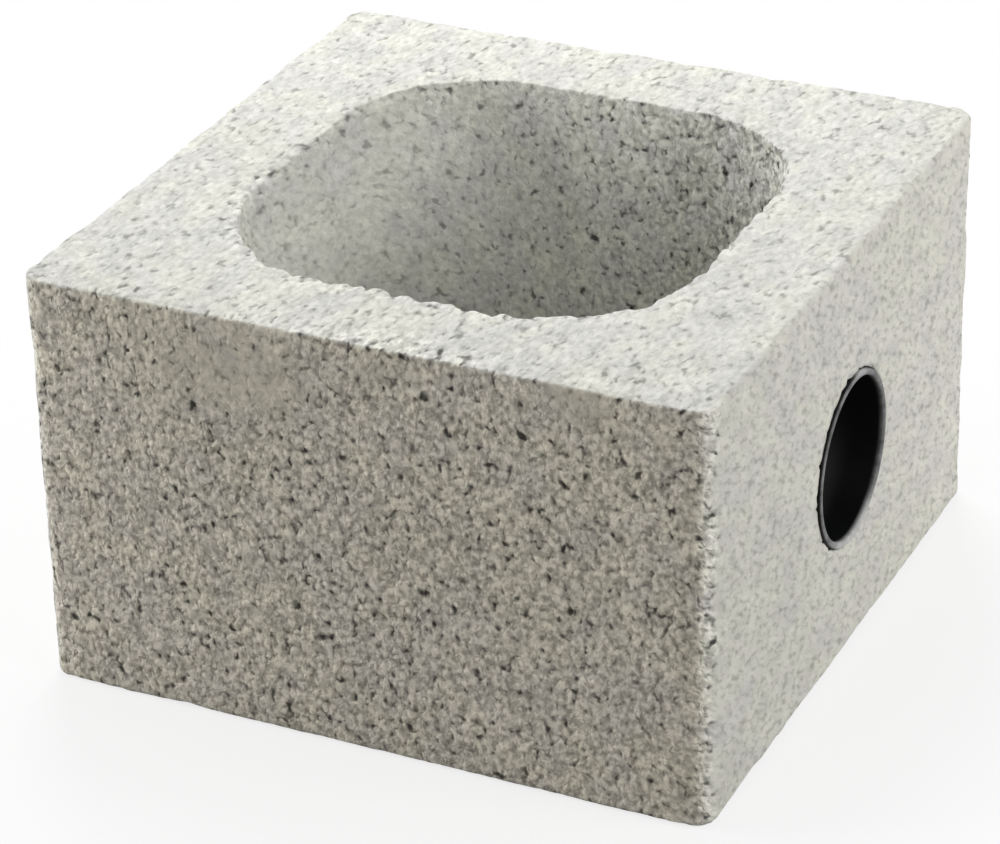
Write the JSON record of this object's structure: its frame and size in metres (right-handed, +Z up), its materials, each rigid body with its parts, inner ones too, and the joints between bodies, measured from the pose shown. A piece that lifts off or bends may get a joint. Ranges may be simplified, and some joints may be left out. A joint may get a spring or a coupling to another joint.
{
  "type": "hollow plinth block",
  "caption": "Square hollow concrete plinth block for the foot of a flue or chimney stack, open from bed to bed, with a dark round duct sleeve through one side wall.",
  "frame": {"origin": "centre of the bottom bed, on the floor, in the middle of the flue opening", "axes": "+Z up out of the top bed, +X out of the duct sleeve, +Y along the block's width"},
  "size_m": [0.4015, 0.4, 0.25],
  "materials": {
    "concrete": "matte",
    "sleeve_plastic": "satin"
  },
  "bodies": {
    "root": {"block": "concrete", "pipe_sleeve": "sleeve_plastic"}
  },
  "joints": []
}
